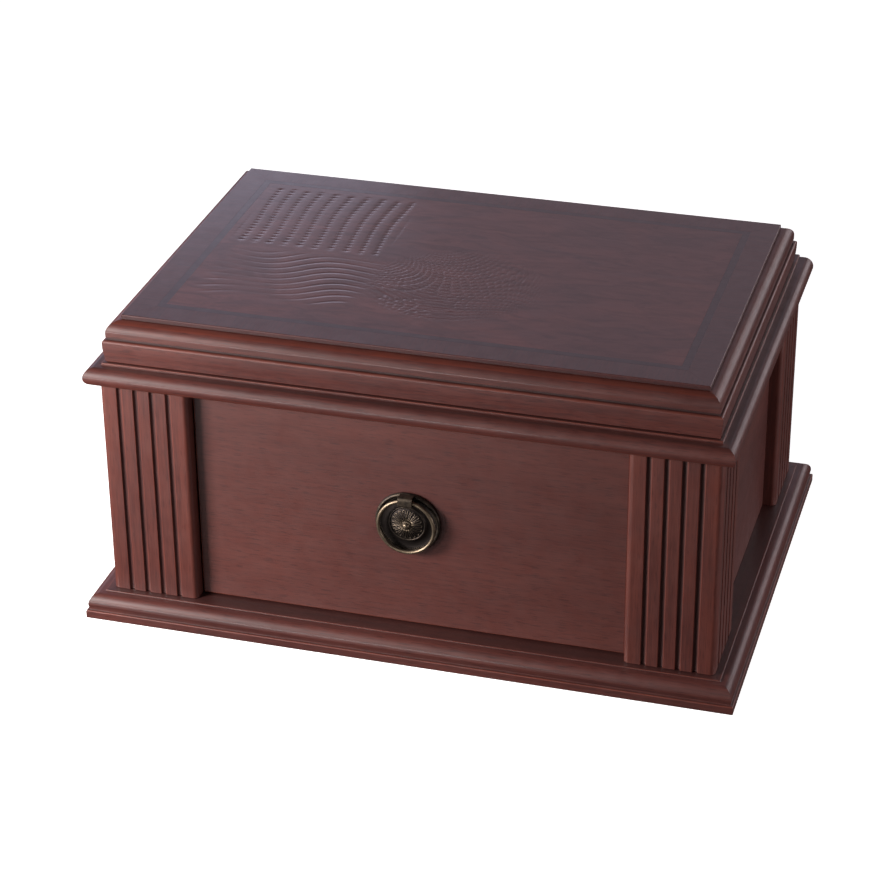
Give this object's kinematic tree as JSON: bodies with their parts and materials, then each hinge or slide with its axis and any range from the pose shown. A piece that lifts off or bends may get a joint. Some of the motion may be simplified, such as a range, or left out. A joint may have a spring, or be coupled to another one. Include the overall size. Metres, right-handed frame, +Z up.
{
  "type": "lidded keepsake chest with drawer",
  "caption": "Rectangular mahogany memorial chest with fluted corner posts, bullnose cornice, hinged carved lid over a lined well, and a ring-pull drawer.",
  "frame": {"origin": "middle of the underside of the base moulding, on the surface that the chest stands on", "axes": "+Z up, -Y towards the front with the drawer, +X to the right seen from the front"},
  "size_m": [0.42, 0.3, 0.2065],
  "materials": {
    "mahogany": "red-brown mahogany under satin lacquer",
    "carved_top": "carved figured veneer, dark red-brown, satin lacquer",
    "crossband_veneer": "figured dark red-brown veneer border, satin lacquer",
    "ebony_string": "black stringing, satin lacquer",
    "plain_wood": "unstained light hardwood, thin matt seal",
    "felt": "dark burgundy felt",
    "antique_brass": "antique brass, darkened in the hollows and rubbed bright on the edges",
    "hinge_brass": "plain brass"
  },
  "bodies": {
    "chest": {"base_moulding_front": "mahogany", "base_moulding_rear": "mahogany", "base_moulding_left": "mahogany", "base_moulding_right": "mahogany", "bottom_panel": "plain_wood", "corner_post_front_left": "mahogany", "corner_post_front_right": "mahogany", "corner_post_rear_left": "mahogany", "corner_post_rear_right": "mahogany", "side_panel_left": "mahogany", "side_panel_right": "mahogany", "rear_panel": "mahogany", "cornice_front": "mahogany", "cornice_left": "mahogany", "cornice_right": "mahogany", "cornice_rear": "mahogany", "well_front": "mahogany", "well_floor": "plain_wood", "well_lining": "felt", "well_ledger_left": "plain_wood", "well_ledger_right": "plain_wood", "drawer_guide_left": "plain_wood", "drawer_guide_right": "plain_wood", "hinge_left_fixed_leaf": "hinge_brass", "hinge_left_pin": "hinge_brass", "hinge_left_fixed_screw_1": "hinge_brass", "hinge_left_fixed_screw_2": "hinge_brass", "hinge_right_fixed_leaf": "hinge_brass", "hinge_right_pin": "hinge_brass", "hinge_right_fixed_screw_1": "hinge_brass", "hinge_right_fixed_screw_2": "hinge_brass"},
    "lid": {"lid_moulding_front": "mahogany", "lid_moulding_rear": "mahogany", "lid_moulding_left": "mahogany", "lid_moulding_right": "mahogany", "lid_panel": "plain_wood", "crossband_front": "crossband_veneer", "crossband_rear": "crossband_veneer", "crossband_left": "crossband_veneer", "crossband_right": "crossband_veneer", "string_inlay": "ebony_string", "lid_field": "carved_top", "hinge_left_lid_leaf": "hinge_brass", "hinge_left_lid_screw_1": "hinge_brass", "hinge_left_lid_screw_2": "hinge_brass", "hinge_right_lid_leaf": "hinge_brass", "hinge_right_lid_screw_1": "hinge_brass", "hinge_right_lid_screw_2": "hinge_brass"},
    "drawer": {"drawer_front": "mahogany", "drawer_side_left": "plain_wood", "drawer_side_right": "plain_wood", "drawer_back": "plain_wood", "drawer_bottom": "plain_wood", "drawer_lining": "felt", "pull_backplate": "antique_brass", "pull_strap": "antique_brass", "pull_bolt": "antique_brass", "pull_nut": "hinge_brass"},
    "ring": {"pull_ring": "antique_brass"}
  },
  "joints": [
    {"name": "lid_hinge", "type": "hinge", "parent": "chest", "child": "lid", "pos_m": [0, 0.1273, 0.1806], "axis": [-1, 0, 0], "range_deg": [0, 95]},
    {"name": "drawer_slide", "type": "slide", "parent": "chest", "child": "drawer", "axis": [0, -1, 0], "range_m": [0, 0.18]},
    {"name": "ring_swing", "type": "hinge", "parent": "drawer", "child": "ring", "pos_m": [0, -0.1324, 0.1073], "axis": [-1, 0, 0], "range_deg": [0, 95]}
  ]
}
